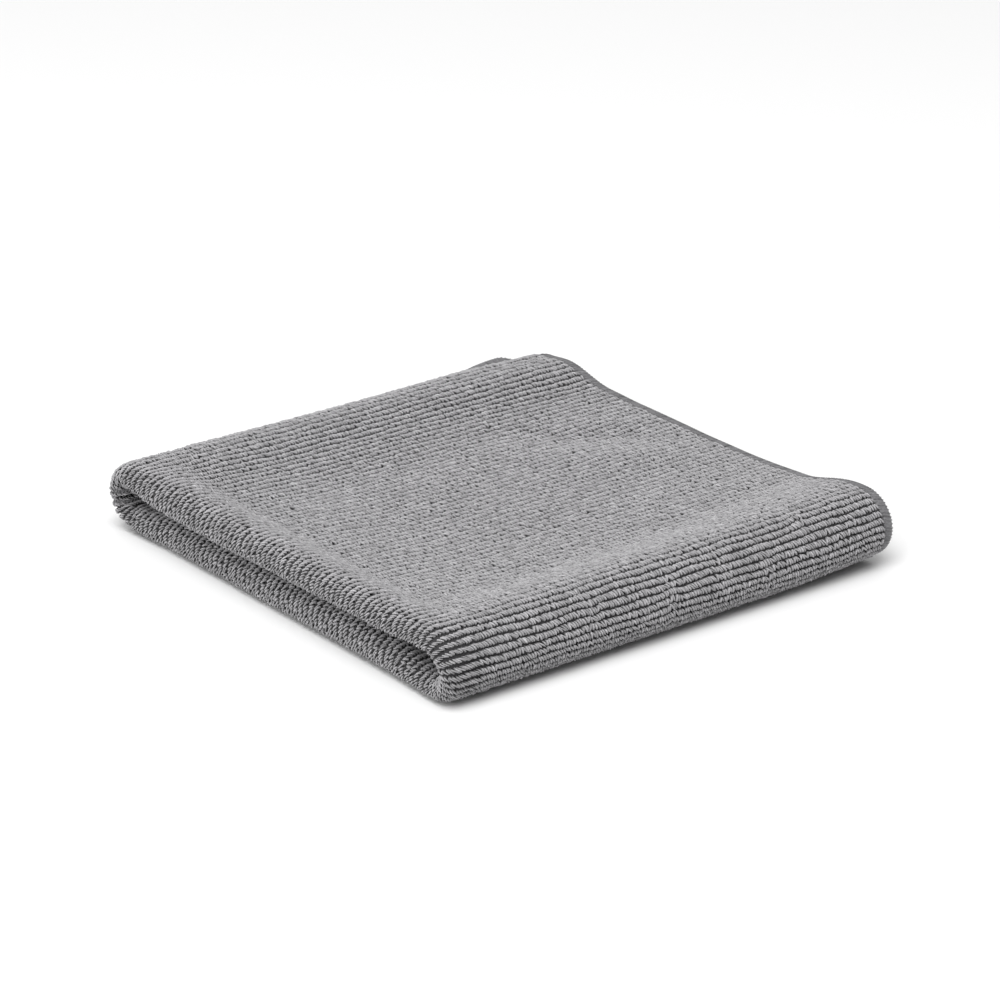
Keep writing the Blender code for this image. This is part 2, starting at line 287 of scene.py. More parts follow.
@dataclass(frozen=True)
class Fold:
    """The pack that the cloth is folded into, and the surface that follows from it.

    The cloth is doubled at the long crease into a strip of two layers. The strip is
    folded in half: two flat runs, one over the other, are joined by a turn at the front.
    """

    cloth: FlatCloth = FlatCloth()

    # the crests of the rolls, the sunken middle, and each layer from the strip's middle
    roll_height: float = 0.0278
    middle_height: float = 0.0214
    layer_offset: float = 0.00285

    # half of a run, the turn's reach past it, and the place of the long crease, with
    # the depth of its round nose and the cloth in half of that nose
    run_half: float = 0.087
    turn_reach: float = 0.0102
    crease_x: float = -0.0964
    nose_depth: float = 0.0048
    nose_arc: float = 0.0073

    # where the middle of the pack's box lies in these sizes
    centre_x: float = 0.0012
    centre_y: float = 0.0045

    # where the rolls take the hemmed side's shape, and what the two corners there do
    hem_side_x: Pair = (0.000, 0.100)
    corner_x: Pair = (0.052, 0.100)
    far_roll_drop: float = 0.0015
    far_corner_y: Pair = (0.072, 0.090)
    right_corner_lift: float = 0.0020
    right_corner_y: Pair = (0.050, 0.087)

    # cloth in the draped end, in the turn and in the curled end
    drape_end: float = 0.0190
    turn_cloth: float = 0.0375
    curl_cloth: float = 0.0150

    # the upper free end drapes down and then flares out, and the lower one curls up
    draped: EndArc = EndArc((0.0116, 0.0090), (92.0, 42.0), (-0.020, 0.080))
    flared: EndArc = EndArc((0.0018, 0.0150), (2.0, 88.0), (0.018, 0.090))
    curled: EndArc = EndArc((0.0143, 0.0126), (100.0, 20.0), (-0.090, -0.010))
    end_bulge: float = 0.10

    # stretch behind the crease over which its puffed layers come together
    puff_x: Pair = (0.007, 0.026)

    # buckle of the inner layer in the turn: where it begins, is whole and has faded out
    buckle_depth: float = 0.0024
    buckle_start: float = 0.0030
    buckle_whole: float = 0.0150
    buckle_fade: float = 0.0600

    # the top's falls from the rolls at the crease, the front and the back, and what the
    # last two turn into at the hemmed side
    crease_fall: Fall = Fall(0.60, (0.006, 0.021), (0.012, 0.060))
    front_fall: Fall = Fall(0.62, (0.000, 0.022), (0.008, 0.050))
    front_hem_fall: Fall = Fall(0.62, (0.002, 0.030), (0.011, 0.068))
    back_fall: Fall = Fall(0.35, (0.000, 0.024), (0.004, 0.050))
    back_hem_fall: Fall = Fall(0.75, (0.005, 0.032), (0.008, 0.050))

    # ridges and dents where the cloth was folded before or lies unevenly
    soft_creases: tuple[SoftCrease, ...] = (
        SoftCrease(0.066, 0.020, 0.030, 0.009, -35, -0.0010),
        SoftCrease(0.058, 0.000, 0.034, 0.012, -35, 0.0006),
        SoftCrease(-0.074, 0.000, 0.080, 0.007, 90, -0.0005),
        SoftCrease(0.010, -0.062, 0.080, 0.008, 0, -0.0005),
        SoftCrease(0.020, 0.040, 0.050, 0.022, 20, 0.0004),
        SoftCrease(-0.080, 0.078, 0.045, 0.030, 0, 0.0009),
        SoftCrease(0.095, -0.083, 0.040, 0.022, 0, 0.0011),
    )

    # along, half height between the two puffed layers, how far the crease is set back
    crease_puff: tuple[Numbers, ...] = (
        (0.0000, 0.0022, 0.0000),
        (0.0190, 0.0034, 0.0000),
        (0.0340, 0.0046, 0.0000),
        (0.0700, 0.0044, 0.0000),
        (0.1000, 0.0039, 0.0000),
        (0.1550, 0.0035, 0.0000),
        (0.1832, 0.0030, 0.0008),
        (0.2208, 0.0030, 0.0040),
        (0.2460, 0.0050, 0.0044),
        (0.2700, 0.0054, 0.0044),
        (0.3300, 0.0048, 0.0044),
        (0.3650, 0.0044, 0.0044),
        (0.3850, 0.0034, 0.0036),
        (0.4000, 0.0022, 0.0012),
    )

    # along, place of the outer layer's edge in X, place of the inner layer's edge in X
    edge_reach: tuple[Numbers, ...] = (
        (0.000, 0.0915, 0.0925),
        (0.012, 0.0982, 0.0976),
        (0.060, 0.1006, 0.0985),
        (0.150, 0.1000, 0.0975),
        (0.200, 0.1006, 0.0968),
        (0.260, 0.0998, 0.0974),
        (0.340, 0.0990, 0.0980),
        (0.388, 0.0994, 0.0974),
        (0.400, 0.0935, 0.0920),
    )

    # half steps over which the strip's slope, the cloth's slopes and its turns are taken
    strip_step: float = 0.00002
    slope_step: float = 0.0002
    bend_step: float = 0.0008

    @property
    def run_cloth(self) -> float:
        """Cloth in each of the two flat runs."""
        used = self.drape_end + self.turn_cloth + self.curl_cloth
        return (self.cloth.side - used) / 2

    @property
    def turn_start(self) -> float:
        """Distance along the strip at which the turn begins."""
        return self.drape_end + self.run_cloth

    @property
    def turn_end(self) -> float:
        """Distance along the strip at which the turn ends."""
        return self.turn_start + self.turn_cloth

    @property
    def curl_start(self) -> float:
        """Distance along the strip at which the lower end begins to curl up."""
        return self.turn_end + self.run_cloth

    @staticmethod
    def table_column(table: tuple[Numbers, ...], column: int, position: np.ndarray) -> np.ndarray:
        """Read a table's column at a position, eased between its rows.

        Args:
            table: rows whose first column is the position.
            column: the column to read.
            position: where to read it.

        Returns:
            The column's value at each position.
        """
        rows = np.array(table)
        found = np.searchsorted(rows[:, 0], position, side="right") - 1
        row = np.clip(found, 0, len(rows) - 2)
        share = ease(position, rows[row, 0], rows[row + 1, 0])
        return rows[row, column] * (1.0 - share) + rows[row + 1, column] * share

    def top_height(self, x: np.ndarray, y: np.ndarray) -> np.ndarray:
        """Height of the pack's top.

        The height is crest + (middle - crest) * flatness + soft creases, where flatness
        is the product of the falls from the crease's, the front's and the back's roll.

        Args:
            x: places across the strip, from the crease to the hems.
            y: places over the strip's run, from the front to the back.

        Returns:
            The height at each place.
        """
        hem_side = ease(x, *self.hem_side_x)
        from_front = y + self.run_half
        from_back = self.run_half - y
        front = self.front_fall.at(from_front)
        front = front + (self.front_hem_fall.at(from_front) - front) * hem_side
        back = self.back_fall.at(from_back)
        back = back + (self.back_hem_fall.at(from_back) - back) * hem_side
        flatness = self.crease_fall.at(x - self.crease_x) * front * back
        far_corner = ease(x, *self.corner_x) * ease(y, *self.far_corner_y)
        crest = self.roll_height - self.far_roll_drop * far_corner
        height = crest + (self.middle_height - crest) * flatness
        for soft_crease in self.soft_creases:
            height = height + soft_crease.at(x, y)
        return height

    def spread(self, along: np.ndarray, x: np.ndarray) -> np.ndarray:
        """Distance from the strip's middle to the middle of either layer.

        It is offset + (puff - offset) * puffed, with puffed 1 at the crease and 0 past it.

        Args:
            along: distance over the section.
            x: place across the strip.

        Returns:
            The distance at each place.
        """
        puffed = 1.0 - ease(x - self.crease_x, *self.puff_x)
        puff = self.table_column(self.crease_puff, 1, along)
        return self.layer_offset + (puff - self.layer_offset) * puffed

    def upper_height(self, along: np.ndarray, x: np.ndarray, y: np.ndarray) -> np.ndarray:
        """Height of the upper run's middle: the top, less the spread and half a layer."""
        return self.top_height(x, y) - self.spread(along, x) - self.cloth.pile_thickness / 2

    def lower_height(self, along: np.ndarray, x: np.ndarray, y: np.ndarray) -> np.ndarray:
        """Height of the lower run's middle: its outer layer lies flat but for one corner.

        It is the spread + half a layer + the lift of the corner at the front's right.

        Args:
            along: distance over the section.
            x: place across the strip.
            y: place over the strip's run.

        Returns:
            The height at each place.
        """
        lift = self.right_corner_lift * ease(x, *self.corner_x)
        lift = lift * ease(-y, *self.right_corner_y)
        return self.spread(along, x) + self.cloth.pile_thickness / 2 + lift

    def drape(self, along: np.ndarray, x: np.ndarray) -> Arrays:
        """Travel of the upper free end, out of the pack's back and down.

        It runs over the draped arc and then over the flared one, which starts in the
        direction in which the first one ends and bends back out.

        Args:
            along: distance over the section.
            x: place across the strip.

        Returns:
            Arrays of the travel out and down.
        """
        length, angle = self.draped.size(x)
        flare_length, flare_angle = self.flared.size(x)
        travel = np.clip(1.0 - along / self.drape_end, 0.0, 1.0) * (length + flare_length)
        out, down = arc_travel(length, angle, portion(travel, 0.0, length))
        flare_share = portion(travel, length, flare_length)
        ahead, aside = arc_travel(flare_length, flare_angle, flare_share)
        out = out + ahead * np.cos(angle) + aside * np.sin(angle)
        down = down + ahead * np.sin(angle) - aside * np.cos(angle)
        return out * (1.0 + self.end_bulge * (1.0 - self.draped.change(x))), down

    def curl(self, along: np.ndarray, x: np.ndarray) -> Arrays:
        """Travel of the lower free end, out of the pack's back and up, over its arc.

        Args:
            along: distance over the section.
            x: place across the strip.

        Returns:
            Arrays of the travel out and up.
        """
        length, angle = self.curled.size(x)
        out, up = arc_travel(length, angle, portion(along, self.curl_start, self.curl_cloth))
        return out * (1.0 + self.end_bulge * (1.0 - self.curled.change(x))), up

    def strip_middle(self, along: np.ndarray, x: np.ndarray) -> Arrays:
        """Place (y, z) of the doubled strip's middle.

        The section is a flattened loop, open at the back: a draped end, a run, a turn of
        half an ellipse (y = -sin, z = cos), a run back and an end that curls up in an arc.

        Args:
            along: distance over the section.
            x: place across the strip.

        Returns:
            Arrays of y and z.
        """
        drape_out, drape_down = self.drape(along, x)
        upper_share = portion(along, self.drape_end, self.run_cloth)
        upper_y = self.run_half * (1.0 - 2.0 * upper_share)
        upper_z = self.upper_height(along, x, upper_y) - drape_down

        turn = portion(along, self.turn_start, self.turn_cloth) * math.pi
        top = self.upper_height(np.full_like(x, self.turn_start), x, -self.run_half)
        bottom = self.lower_height(np.full_like(x, self.turn_end), x, -self.run_half)
        turn_y = -self.run_half - self.turn_reach * np.sin(turn)
        turn_z = (top + bottom) / 2 + (top - bottom) / 2 * np.cos(turn)

        curl_out, curl_up = self.curl(along, x)
        lower_share = portion(along, self.turn_end, self.run_cloth)
        lower_y = self.run_half * (2.0 * lower_share - 1.0)
        lower_z = self.lower_height(along, x, lower_y) + curl_up

        parts = [along < self.turn_start, along > self.turn_end]
        y = np.select(parts, [upper_y + drape_out, lower_y + curl_out], turn_y)
        z = np.select(parts, [upper_z, lower_z], turn_z)
        return y, z

    def crease_profile(self, along: np.ndarray, out: np.ndarray) -> Arrays:
        """Place along X and share of the full spread.

        From the crease it is a quarter ellipse, x = depth * (1 - cos), share = sin, and
        then a straight run to the layer's edge with a share of 1.

        Args:
            along: distance over the section.
            out: distance from the crease.

        Returns:
            Arrays of x and of the share, negative on the inner layer.
        """
        reach = np.abs(out)
        angle = portion(reach, 0.0, self.nose_arc) * (math.pi / 2)
        outer = self.table_column(self.edge_reach, 1, along)
        inner = self.table_column(self.edge_reach, 2, along)
        edge = np.where(out >= 0.0, outer, inner)
        flat_share = portion(reach, self.nose_arc, self.cloth.half - self.nose_arc)
        crease = self.crease_x + self.table_column(self.crease_puff, 2, along)
        flat_length = edge - crease - self.nose_depth
        x = crease + self.nose_depth * (1.0 - np.cos(angle)) + flat_length * flat_share
        return x, np.sin(angle) * np.sign(out)

    def buckle(self, along: np.ndarray, out: np.ndarray) -> np.ndarray:
        """Depth of the inner layer's buckle into the hollow of the turn: sin^2 over it.

        Args:
            along: distance over the section.
            out: distance from the crease.

        Returns:
            The depth at each place.
        """
        share = portion(along, self.turn_start, self.turn_cloth)
        begun = ease(-out, self.buckle_start, self.buckle_whole)
        left = 1.0 - ease(-out, self.buckle_whole, self.buckle_fade)
        return self.buckle_depth * np.sin(math.pi * share) ** 2 * begun * left

    def middle(self, along: np.ndarray, out: np.ndarray) -> np.ndarray:
        """Point of the cloth's middle surface.

        It is the strip's middle, moved along the strip's normal (tz, -ty) by the layer's
        offset times its share of the spread, less the buckle.

        Args:
            along: distance over the section.
            out: distance from the crease.

        Returns:
            Points, one for each pair of coordinates.
        """
        x, share = self.crease_profile(along, out)
        step = self.strip_step
        y, z = self.strip_middle(along, x)
        y_before, z_before = self.strip_middle(np.maximum(along - step, 0.0), x)
        y_after, z_after = self.strip_middle(np.minimum(along + step, self.cloth.side), x)
        tangent = unit(np.stack([y_after - y_before, z_after - z_before], axis=-1))
        offset = self.spread(along, x) * share - self.buckle(along, out)
        place_y = y + tangent[..., 1] * offset - self.centre_y
        place_z = z - tangent[..., 0] * offset
        return np.stack([x - self.centre_x, place_y, place_z], axis=-1)

    def slopes(self, along: np.ndarray, out: np.ndarray) -> Arrays:
        """Slopes of the middle surface, from differences of points on either side.

        Args:
            along: distance over the section.
            out: distance from the crease.

        Returns:
            Arrays of the travel for each unit of "along" and for each unit of "out".
        """
        step = self.slope_step
        half = self.cloth.half
        after, before = np.minimum(along + step, self.cloth.side), np.maximum(along - step, 0.0)
        over = self.middle(after, out) - self.middle(before, out)
        over = over / (after - before)[..., None]
        after, before = np.minimum(out + step, half), np.maximum(out - step, -half)
        outwards = self.middle(along, after) - self.middle(along, before)
        return over, outwards / (after - before)[..., None]

    def normal(self, along: np.ndarray, out: np.ndarray) -> np.ndarray:
        """Unit normals: over x outwards."""
        over, outwards = self.slopes(along, out)
        return unit(np.cross(over, outwards))

    def lifted(self, along: np.ndarray, out: np.ndarray, height: np.ndarray) -> np.ndarray:
        """Points at a height over the middle surface.

        Past the cloth's edges the surface goes on straight. No point is under the floor.

        Args:
            along: distance over the section.
            out: distance from the crease.
            height: height over the middle surface, negative on the back.

        Returns:
            Points, one for each pair of coordinates.
        """
        inside_along = np.clip(along, 0.0, self.cloth.side)
        inside_out = np.clip(out, -self.cloth.half, self.cloth.half)
        over, outwards = self.slopes(inside_along, inside_out)
        points = self.middle(inside_along, inside_out)
        points = points + unit(over) * (along - inside_along)[..., None]
        points = points + unit(outwards) * (out - inside_out)[..., None]
        return above_floor(points + unit(np.cross(over, outwards)) * height[..., None])

    def frames(self, along: np.ndarray, out: np.ndarray) -> SurfaceFrames:
        """Places with their own axes, for small things that follow the surface.

        Args:
            along: distance over the section, in one row of numbers.
            out: distance from the crease.

        Returns:
            The frames.
        """
        step = self.bend_step
        along = np.clip(along, 0.0, self.cloth.side)
        over, outwards = self.slopes(along, out)
        near = np.clip(along, step, self.cloth.side - step)
        over_turn = self.normal(near + step, out) - self.normal(near - step, out)
        outwards_turn = self.normal(near, out + step) - self.normal(near, out - step)
        return SurfaceFrames(
            self.middle(along, out),
            unit(np.cross(over, outwards)),
            over,
            outwards,
            over_turn / (2 * step),
            outwards_turn / (2 * step),
        )


@dataclass(frozen=True)
class Wave:
    """A slow slanted wave of the ribs.

    Attributes:
        height: how far it shifts the ribs to either side.
        over_length: its wavelength over the strip.
        out_length: its wavelength along the ribs, negative for the other slant.
        phase: where it begins, in radians.
    """

    height: float
    over_length: float
    out_length: float
    phase: float

    def at(self, along: np.ndarray, out: np.ndarray) -> np.ndarray:
        """Shift at each place: height * sin(2 pi (along / L1 + out / L2) + phase)."""
        turns = along / self.over_length + out / self.out_length
        return self.height * np.sin(2 * math.pi * turns + self.phase)


@dataclass(frozen=True)
class Kink:
    """A short kink across a few ribs.

    Attributes:
        along: place of its middle over the strip.
        out: place of its middle along the ribs.
        over_length: its reach over the strip.
        out_length: its reach along the ribs.
        shift: how far it moves the ribs over the strip.
    """

    along: float
    out: float
    over_length: float
    out_length: float
    shift: float

    def bell(self, along: np.ndarray, out: np.ndarray, reach: float = 1.0) -> np.ndarray:
        """Its strength at each place: exp(-(da / (reach * L1))^2 - (do / L2)^2).

        Args:
            along: distance over the section.
            out: distance from the crease.
            reach: how many times as far it reaches over the strip.

        Returns:
            The strength, 1 in its middle.
        """
        far = ((along - self.along) / (reach * self.over_length)) ** 2
        return np.exp(-far - ((out - self.out) / self.out_length) ** 2)


@dataclass(frozen=True)
class Waver:
    """How far ribs stray from straight lines, and where they are kinked.

    Round the outside of the turn the cloth has more way to go, so ribs close up there and
    lie a little farther apart on the flat runs.

    Attributes:
        turn_centre: place of the closing's middle over the strip.
        turn_half: half of the stretch in which ribs close up.
        closing: how much closer they lie in its middle.
        closing_power: how suddenly the closing ends.
        closing_reach: distance from its middle at which no shift is left.
        closing_out: where the closing begins and is whole, from the crease.
        waves: slow waves of all the ribs.
        kinks: kinks in the front roll.
        pinch_reach: reach of a kink's pinch over that of its shift.
        pitch_step: half step over which the distance between ribs is taken.
    """

    turn_centre: float = 0.20200
    turn_half: float = 0.0240
    closing: float = 0.10
    closing_power: int = 4
    closing_reach: float = 0.2
    closing_out: Pair = (-0.004, 0.040)
    waves: tuple[Wave, ...] = (
        Wave(0.00016, 0.031, 0.047, 0.3),
        Wave(0.00012, 0.017, -0.029, 1.9),
        Wave(0.00009, 0.011, 0.016, 4.1),
    )
    kinks: tuple[Kink, ...] = (
        Kink(0.1960, 0.0640, 0.0050, 0.0024, 0.0005),
        Kink(0.2010, 0.0980, 0.0060, 0.0022, -0.0007),
        Kink(0.1930, 0.1210, 0.0040, 0.0024, 0.0005),
        Kink(0.2040, 0.1400, 0.0060, 0.0022, 0.0006),
        Kink(0.1880, 0.1620, 0.0050, 0.0026, -0.0005),
    )
    pinch_reach: float = 1.8
    pitch_step: float = 0.0004

    def shift(self, along: np.ndarray, out: np.ndarray) -> np.ndarray:
        """Shift over the strip: the closing at the turn, slanted sine waves and kinks.

        The closing is -c r / (1 + (r / w)^p)^(1/p) (1 - |r| / reach), with r the distance
        from the turn's middle: -c r near it, then falling to nothing at the free ends.

        Args:
            along: distance over the section.
            out: distance from the crease.

        Returns:
            The shift of each place.
        """
        far = along - self.turn_centre
        power = self.closing_power
        kept = far / (1.0 + (far / self.turn_half) ** power) ** (1 / power)
        total = -self.closing * kept * (1.0 - np.abs(far) / self.closing_reach)
        total = total * ease(out, *self.closing_out)
        for wave in self.waves:
            total = total + wave.at(along, out)
        for kink in self.kinks:
            total = total + kink.shift * kink.bell(along, out)
        return total

    def pinch(self, along: np.ndarray, out: np.ndarray) -> np.ndarray:
        """Share of a kink's full pinch: the largest of the kinks' bell curves."""
        return np.max([kink.bell(along, out, self.pinch_reach) for kink in self.kinks], axis=0)

    def pitch_ratio(self, along: np.ndarray, out: np.ndarray) -> np.ndarray:
        """Local distance between ribs over the even one: 1 + d shift / d along."""
        step = self.pitch_step
        return 1.0 + (self.shift(along + step, out) - self.shift(along - step, out)) / (2 * step)


def make_object(name: str, points: np.ndarray, *faces: np.ndarray) -> bpy.types.Object:
    """Make a smooth mesh object from arrays of points and faces.

    Args:
        name: the piece's name.
        points: array of shape (points, 3), in metres.
        faces: arrays of point numbers, each with a row for each face.

    Returns:
        The object, linked to the scene at the origin.
    """
    mesh = bpy.data.meshes.new(name)
    mesh.vertices.add(len(points))
    mesh.vertices.foreach_set("co", points.astype(np.float32).ravel())
    corners = np.concatenate([group.ravel() for group in faces]).astype(np.int32)
    sizes = np.concatenate([np.full(len(group), group.shape[1]) for group in faces])
    starts = (np.cumsum(sizes) - sizes).astype(np.int32)
    mesh.loops.add(len(corners))
    mesh.loops.foreach_set("vertex_index", corners)
    mesh.polygons.add(len(sizes))
    mesh.polygons.foreach_set("loop_start", starts)
    mesh.update(calc_edges=True)
    mesh.shade_smooth()
    piece = bpy.data.objects.new(name, mesh)
    bpy.context.scene.collection.objects.link(piece)
    return piece


def add_value(piece: bpy.types.Object, name: PointValue, values: np.ndarray) -> None:
    """Store one number a point on a piece's mesh."""
    layer = piece.data.attributes.new(name.value, "FLOAT", "POINT")
    layer.data.foreach_set("value", values.astype(np.float32).ravel())


def ring_quads(rings: int, sides: int) -> np.ndarray:
    """Faces between closed rings of points that follow one another.

    Args:
        rings: number of rings.
        sides: points in each ring.

    Returns:
        The point numbers of each face.
    """
    ring, side = np.meshgrid(np.arange(rings - 1), np.arange(sides), indexing="ij")
    here = ring * sides + side
    beside = ring * sides + (side + 1) % sides
    return np.stack([here, beside, beside + sides, here + sides], axis=-1).reshape(-1, 4)


def end_caps(rings: int, sides: int) -> np.ndarray:
    """Faces that close a tube's first and last ring, both facing outwards.

    Args:
        rings: number of rings.
        sides: points in each ring.

    Returns:
        The point numbers of the two faces.
    """
    ring = np.arange(sides)
    return np.stack([ring[::-1], (rings - 1) * sides + ring])


def repeated(faces: np.ndarray, copies: int, size: int) -> np.ndarray:
    """Faces of many copies of a small mesh, whose points follow one another.

    Args:
        faces: the point numbers of one copy's faces.
        copies: number of copies.
        size: number of points in a copy.

    Returns:
        The point numbers of all faces.
    """
    starts = (np.arange(copies) * size)[:, None, None]
    return (faces[None] + starts).reshape(-1, faces.shape[1])


@dataclass(frozen=True)
class LoopShape:
    """One loop of pile: a flattened strand that arches over its rib.

    Attributes:
        width: width of the arch across the rib.
        pitch: distance between loops along the rib.
        bundle: width of the strand along the rib.
        strand: thickness of the strand.
        base: height of its roots above the middle of the ground.
        height: height of its top above the middle of the ground.
        slant: travel along the rib for each unit across it.
        foot: size of the strand at its roots over that at its top.
        side_power: power of the arch's course across the rib, squarer when smaller.
        top_power: power of its course in height, squarer when smaller.
        stations: rings of points over the arch.
        sides: points in a ring.
    """

    width: float = 0.00278
    pitch: float = 0.00105
    bundle: float = 0.00140
    strand: float = 0.00080
    base: float = 0.00020
    height: float = 0.00180
    slant: float = 0.45
    foot: float = 0.78
    side_power: float = 0.8
    top_power: float = 0.6
    stations: int = 5
    sides: int = 3

    def template(self) -> Arrays:
        """Points and faces of one loop in its own axes.

        The arch's middle line is a = A |sin t|^side_power, h = base + H |cos t|^top_power,
        for t from -90 to 90 degrees, and the ring round it is an ellipse across that line.

        Returns:
            Points (a, b, h), how far each is to the strand's sides (0 to 1), the faces
            round the strand and the faces at its ends.
        """
        t = np.radians(np.linspace(-90.0, 90.0, self.stations))[:, None]
        ring = 2 * math.pi * np.arange(self.sides)[None, :] / self.sides + math.pi / 2
        half_width = (self.width - self.strand) / 2
        rise = self.height - self.base - self.strand / 2
        line_a = half_width * np.sign(np.sin(t)) * np.abs(np.sin(t)) ** self.side_power
        line_h = self.base + rise * np.clip(np.cos(t), 0.0, 1.0) ** self.top_power
        taper = self.foot + (1.0 - self.foot) * np.cos(t)
        outward = self.strand / 2 * np.sin(ring) * taper
        a = line_a + outward * np.sin(t)
        h = line_h + outward * np.cos(t)
        b = self.bundle / 2 * np.cos(ring) * taper + self.slant * line_a
        points = np.stack([a, b, h], axis=-1).reshape(-1, 3)
        aside = np.abs(np.cos(ring)) / np.abs(np.cos(ring)).max()
        aside = np.repeat(aside, self.stations, axis=0).ravel()
        tube = (self.stations, self.sides)
        return points, aside, ring_quads(*tube), end_caps(*tube)


@dataclass(frozen=True)
class PileZone:
    """A stretch of the cloth whose loops are one piece.

    Attributes:
        name: the piece's name.
        along: start and end over the strip.
        out: start and end from the crease.
        shape: the loops' shape there.
        seed: start of the random draws.
    """

    name: str
    along: Pair
    out: Pair
    shape: LoopShape
    seed: int


@dataclass
class Pile:
    """The rows of loops that make the cloth's ribs.

    Attributes:
        fold: the folded cloth that carries them.
        waver: how the ribs stray.
        fine: shape of the loops where they show.
        plain: shape of the loops underneath and inside.
        top_along: where the top's zone starts and ends over the strip.
        mouth_out: how far into the crease's mouth loops go.
        crease_end: where the zones at the lower crease end.
        inner_start: where the inner layer's loops begin, at its hem.
        edge_gap: gap between the last loop and the hem.
        uneven_width: usual departure of a loop's width.
        uneven_bundle: usual departure of a strand's width.
        uneven_height: usual departure of a loop's height.
        height_limits: least and most departure of a loop's height.
        uneven_slant: usual departure of a loop's slant.
        uneven_start: usual departure of a rib's first loop, over the pitch.
        uneven_step: usual distance of a loop from its place along the rib.
        stray: usual distance of a loop from its rib's line.
        still_bend: bend that the pile's own fullness fills.
        opening: how fast the gaps open past that bend.
        most_open: bend past it at which they open no further.
        back_along: where the back's narrowing begins to fade and is gone, over the strip.
        back_narrowing: how much narrower loops are at the back.
        crease_out: where the crease's slant and narrowing begin to fade and are gone.
        crease_slant: how much more loops slant at the crease.
        crease_narrowing: how much narrower they are there.
        pinched_width: how much wider loops are in a kink.
        pinched_slant: how much more uneven their slant is in a kink.
        most_dropped: most ribs of which one is kept where the cloth is crowded.
    """

    fold: Fold
    waver: Waver = Waver()
    fine: LoopShape = LoopShape()
    plain: LoopShape = LoopShape(stations=3, pitch=0.0021, bundle=0.0028)
    top_along: Pair = (0.062, 0.122)
    mouth_out: float = -0.014
    crease_end: float = 0.024
    inner_start: float = -0.174
    edge_gap: float = 0.0011
    uneven_width: float = 0.06
    uneven_bundle: float = 0.10
    uneven_height: float = 0.08
    height_limits: Pair = (-0.2, 0.1)
    uneven_slant: float = 0.27
    uneven_start: float = 0.05
    uneven_step: float = 0.00006
    stray: float = 0.00007
    still_bend: float = 0.06
    opening: float = 1.05
    most_open: float = 0.5
    back_along: Pair = (0.040, 0.080)
    back_narrowing: float = 0.10
    crease_out: Pair = (0.008, 0.022)
    crease_slant: float = 0.45
    crease_narrowing: float = 0.22
    pinched_width: float = 0.18
    pinched_slant: float = 0.60
    most_dropped: int = 3

    def zones(self) -> list[PileZone]:
        """Stretches of the cloth, with finer loops where they show best.

        Returns:
            The zones. The left end's starts before the cloth, so it has the edge's rib.
        """
        cloth = self.fold.cloth
        start, end = cloth.hem_width, cloth.side - cloth.hem_width
        before_start = -cloth.rib_pitch / 2
        top_start, top_end = self.top_along
        turn_start, turn_end = self.fold.turn_start, self.fold.turn_end
        edge = cloth.half - cloth.hem_width - self.edge_gap
        whole = (self.mouth_out, edge)
        crease = (self.mouth_out, self.crease_end)
        flat = (self.crease_end, edge)
        inner = (-edge, self.inner_start)
        return [
            PileZone("pile_back_roll", (start, top_start), whole, self.fine, 1),
            PileZone("pile_top", (top_start, top_end), whole, self.fine, 2),
            PileZone("pile_front", (top_end, turn_start), whole, self.fine, 3),
            PileZone("pile_turn", (turn_start, turn_end), whole, self.fine, 4),
            PileZone("pile_lower_crease", (turn_end, end), crease, self.fine, 5),
            PileZone("pile_underside", (turn_end, end), flat, self.plain, 6),
            PileZone("pile_left_end", (before_start, start), crease, self.fine, 8),
            PileZone("pile_left_curl", (end, cloth.side), crease, self.fine, 9),
            PileZone("pile_inner_hem", (start, end), inner, self.plain, 7),
        ]

    def centres(self, zone: PileZone, rng: np.random.Generator) -> Arrays:
        """Middles of a zone's loops: a row for each rib, in courses that run over the ribs.

        Inside the turn the cloth is crowded. Where it is squeezed to 1 / n of its length,
        only one rib of n is kept, and its loops are n times as wide in "along".

        Args:
            zone: the stretch of cloth.
            rng: source of the random draws.

        Returns:
            Arrays of along, out and the loops' width over the usual one.
        """
        cloth = self.fold.cloth
        number = np.arange(cloth.rib_count + 1)
        ribs = number * cloth.rib_pitch
        chosen = (ribs > zone.along[0]) & (ribs <= zone.along[1])
        number, ribs = number[chosen], ribs[chosen]
        pitch = zone.shape.pitch
        first, last = (math.ceil(limit / pitch) for limit in zone.out)
        steps = (np.arange(first, last) + 0.5) * pitch
        count = len(steps)
        start = rng.normal(0.0, self.uneven_start * pitch, (len(ribs), 1))
        out = steps[None, :] + start + rng.normal(0.0, self.uneven_step, (len(ribs), count))
        along = np.repeat(ribs[:, None], count, axis=1)
        ratio = self.waver.pitch_ratio(along, out)
        along = along + self.waver.shift(along, out) + rng.normal(0.0, self.stray, out.shape)
        over, _ = self.fold.slopes(np.clip(along, 0.0, cloth.side), out)
        squeezed = 1.0 / np.linalg.norm(over, axis=-1)
        every = np.clip(np.round(squeezed), 1, self.most_dropped)
        kept = number[:, None] % every == 0
        return along[kept], out[kept], (ratio * every)[kept]

    def opened(self, turn: np.ndarray, way: np.ndarray, height: float) -> np.ndarray:
        """Loops' size over the usual one where the cloth bends away from its face.

        The bend is (turn . way) / (way . way). The pile's own fullness fills a slight one,
        s, so a loop is 1 + min(bend * height, s) as large. Past it the gaps between loops
        open, and that size is over 1 + opening * (bend * height - s).

        Args:
            turn: how the normal turns for each unit of a coordinate.
            way: travel for each unit of the same coordinate.
            height: height of the loops' tops.

        Returns:
            The ratio, one for each place.
        """
        bend = height * np.sum(turn * way, axis=-1) / np.sum(way * way, axis=-1)
        filled = 1.0 + np.clip(bend, 0.0, self.still_bend)
        past = np.clip(bend - self.still_bend, 0.0, self.most_open)
        return filled / (1.0 + self.opening * past)

